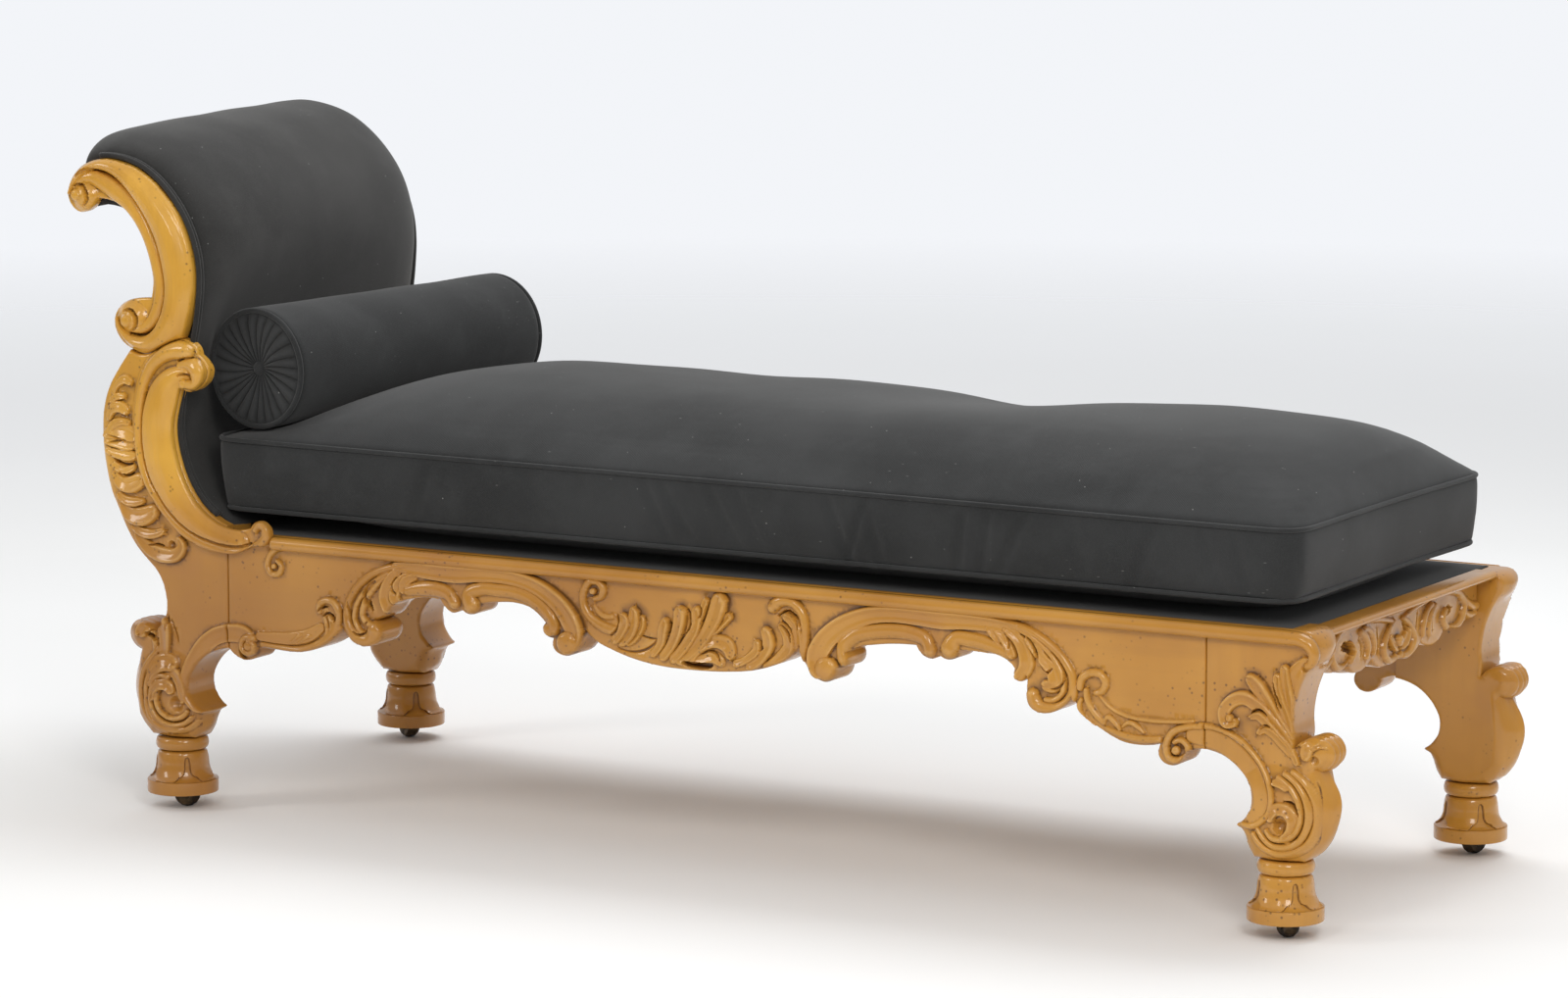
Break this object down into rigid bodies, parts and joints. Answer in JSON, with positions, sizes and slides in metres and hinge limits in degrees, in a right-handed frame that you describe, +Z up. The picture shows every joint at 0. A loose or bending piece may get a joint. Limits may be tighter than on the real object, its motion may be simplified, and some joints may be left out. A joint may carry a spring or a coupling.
{
  "type": "fainting couch",
  "caption": "Carved wooden daybed with one scrolled padded headrest, turned feet on castors, a loose crowned seat cushion and a loose bolster.",
  "frame": {"origin": "on the floor under the middle of the couch, at the bottom centre of its bounding box", "axes": "+X towards the open foot end, -Y towards the front, +Z up"},
  "size_m": [1.8774, 0.646, 0.8908],
  "materials": {
    "carved_wood": "honey coloured polished hardwood with fine dark flecks",
    "inner_wood": "plain sawn hardwood",
    "charcoal_cloth": "matt charcoal cotton with lint",
    "castor_bronze": "dark patinated bronze"
  },
  "bodies": {
    "frame": {"head_leg_front": "carved_wood", "foot_leg_front": "carved_wood", "front_rail": "carved_wood", "front_moulding": "carved_wood", "upper_scroll_front": "carved_wood", "lower_scroll_front": "carved_wood", "turned_foot_front_head": "carved_wood", "turned_foot_front_foot": "carved_wood", "head_leg_back": "carved_wood", "foot_leg_back": "carved_wood", "back_rail": "carved_wood", "back_moulding": "carved_wood", "upper_scroll_back": "carved_wood", "lower_scroll_back": "carved_wood", "turned_foot_back_head": "carved_wood", "turned_foot_back_foot": "carved_wood", "foot_rail": "carved_wood", "foot_moulding": "carved_wood", "head_post_front": "inner_wood", "corner_block_front_head": "inner_wood", "corner_block_front_foot": "inner_wood", "head_post_back": "inner_wood", "corner_block_back_head": "inner_wood", "corner_block_back_foot": "inner_wood", "head_rail": "inner_wood", "deck_slat_1": "inner_wood", "deck_slat_2": "inner_wood", "deck_slat_3": "inner_wood", "deck_board": "inner_wood", "head_mid_rail": "inner_wood", "head_top_rail": "inner_wood", "deck_pad": "charcoal_cloth", "head_pad": "charcoal_cloth", "head_back_cover": "charcoal_cloth", "castor_plate_front_head": "castor_bronze", "castor_plate_front_foot": "castor_bronze", "castor_plate_back_head": "castor_bronze", "castor_plate_back_foot": "castor_bronze"},
    "castor_front_head": {"castor_fork_front_head": "castor_bronze", "castor_axle_front_head": "castor_bronze"},
    "wheel_front_head": {"castor_wheel_front_head": "castor_bronze"},
    "castor_front_foot": {"castor_fork_front_foot": "castor_bronze", "castor_axle_front_foot": "castor_bronze"},
    "wheel_front_foot": {"castor_wheel_front_foot": "castor_bronze"},
    "castor_back_head": {"castor_fork_back_head": "castor_bronze", "castor_axle_back_head": "castor_bronze"},
    "wheel_back_head": {"castor_wheel_back_head": "castor_bronze"},
    "castor_back_foot": {"castor_fork_back_foot": "castor_bronze", "castor_axle_back_foot": "castor_bronze"},
    "wheel_back_foot": {"castor_wheel_back_foot": "castor_bronze"},
    "seat_cushion": {"seat_cushion": "charcoal_cloth"},
    "bolster": {"bolster": "charcoal_cloth", "bolster_button_front": "charcoal_cloth", "bolster_button_back": "charcoal_cloth"}
  },
  "joints": [
    {"name": "castor_swivel_front_head", "type": "hinge", "parent": "frame", "child": "castor_front_head", "pos_m": [-0.7292, -0.276, 0.045], "axis": [0, 0, 1], "continuous": true},
    {"name": "castor_roll_front_head", "type": "hinge", "parent": "castor_front_head", "child": "wheel_front_head", "pos_m": [-0.72371, -0.27356, 0.017], "axis": [-0.4067, 0.9135, 0], "continuous": true},
    {"name": "castor_swivel_front_foot", "type": "hinge", "parent": "frame", "child": "castor_front_foot", "pos_m": [0.87081, -0.276, 0.045], "axis": [0, 0, 1], "continuous": true},
    {"name": "castor_roll_front_foot", "type": "hinge", "parent": "castor_front_foot", "child": "wheel_front_foot", "pos_m": [0.87553, -0.27969, 0.017], "axis": [0.6157, 0.788, 0], "continuous": true},
    {"name": "castor_swivel_back_head", "type": "hinge", "parent": "frame", "child": "castor_back_head", "pos_m": [-0.7292, 0.276, 0.045], "axis": [0, 0, 1], "continuous": true},
    {"name": "castor_roll_back_head", "type": "hinge", "parent": "castor_back_head", "child": "wheel_back_head", "pos_m": [-0.73449, 0.27882, 0.017], "axis": [-0.4695, -0.8829, 0], "continuous": true},
    {"name": "castor_swivel_back_foot", "type": "hinge", "parent": "frame", "child": "castor_back_foot", "pos_m": [0.87081, 0.276, 0.045], "axis": [0, 0, 1], "continuous": true},
    {"name": "castor_roll_back_foot", "type": "hinge", "parent": "castor_back_foot", "child": "wheel_back_foot", "pos_m": [0.87305, 0.28156, 0.017], "axis": [-0.9272, 0.3746, 0], "continuous": true},
    {"name": "seat_cushion_lift", "type": "slide", "parent": "frame", "child": "seat_cushion", "axis": [0.7071, 0, 0.7071], "range_m": [0, 0.45]},
    {"name": "bolster_lift", "type": "slide", "parent": "seat_cushion", "child": "bolster", "axis": [0.4254, 0, 0.905], "range_m": [0, 0.4]}
  ]
}
